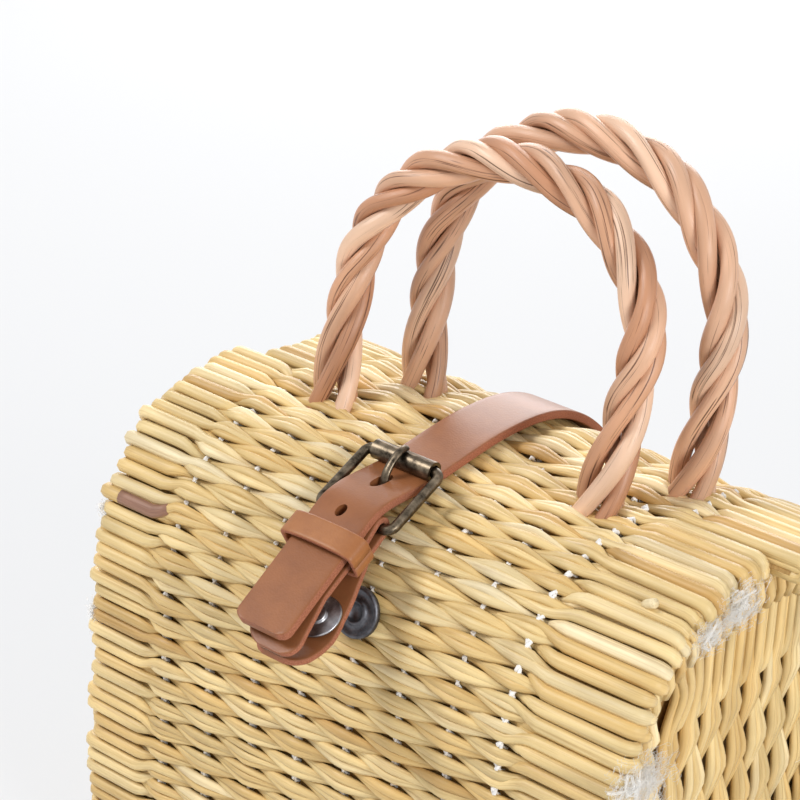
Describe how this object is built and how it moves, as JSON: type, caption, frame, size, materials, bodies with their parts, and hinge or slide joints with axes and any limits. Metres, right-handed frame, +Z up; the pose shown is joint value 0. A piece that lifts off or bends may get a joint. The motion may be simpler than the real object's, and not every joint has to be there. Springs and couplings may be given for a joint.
{
  "type": "basket bag",
  "caption": "Woven reed handbag with a rounded top, inset end panels, twisted willow handles, and a leather strap with a roller buckle and a snap.",
  "frame": {"origin": "middle of the flat base, on the surface the bag stands on", "axes": "X along the reeds with +X to the right seen from the front, -Y to the front, +Z up"},
  "size_m": [0.239, 0.1905, 0.2955],
  "materials": {
    "reed": "dry woven rush with a dull sheen",
    "willow": "peeled boiled willow, satin",
    "twine": "soft cotton twine",
    "leather": "vegetable tanned leather with raw edges",
    "antique_brass": "dark antique plating, worn bright",
    "snap_metal": "dull plated steel"
  },
  "bodies": {
    "bag": {"body_mat": "reed", "left_side_panel": "reed", "right_side_panel": "reed", "left_seam_twine": "twine", "right_seam_twine": "twine", "front_handle_rod_1": "willow", "front_handle_rod_2": "willow", "front_handle_rod_3": "willow", "front_handle_rod_4": "willow", "back_handle_rod_1": "willow", "back_handle_rod_2": "willow", "back_handle_rod_3": "willow", "back_handle_rod_4": "willow", "strap": "leather", "strap_rivets": "antique_brass", "buckle_tab": "leather", "buckle_frame": "antique_brass", "tab_snap": "snap_metal", "basket_snap": "snap_metal", "side_tab": "leather"},
    "roller": {"buckle_roller": "antique_brass"},
    "tongue": {"buckle_tongue": "antique_brass"},
    "keeper": {"keeper_loop": "leather"}
  },
  "joints": [
    {"name": "roller_spin", "type": "hinge", "parent": "bag", "child": "roller", "pos_m": [-0.004, -0.03663, 0.19368], "axis": [1, 0, 0], "continuous": true},
    {"name": "tongue_lift", "type": "hinge", "parent": "bag", "child": "tongue", "pos_m": [-0.004, -0.0613, 0.1827], "axis": [1, 0, 0], "range_deg": [0, 5]},
    {"name": "keeper_slide", "type": "slide", "parent": "bag", "child": "keeper", "axis": [0, -0.8746, -0.4848], "range_m": [0, 0.013]}
  ]
}
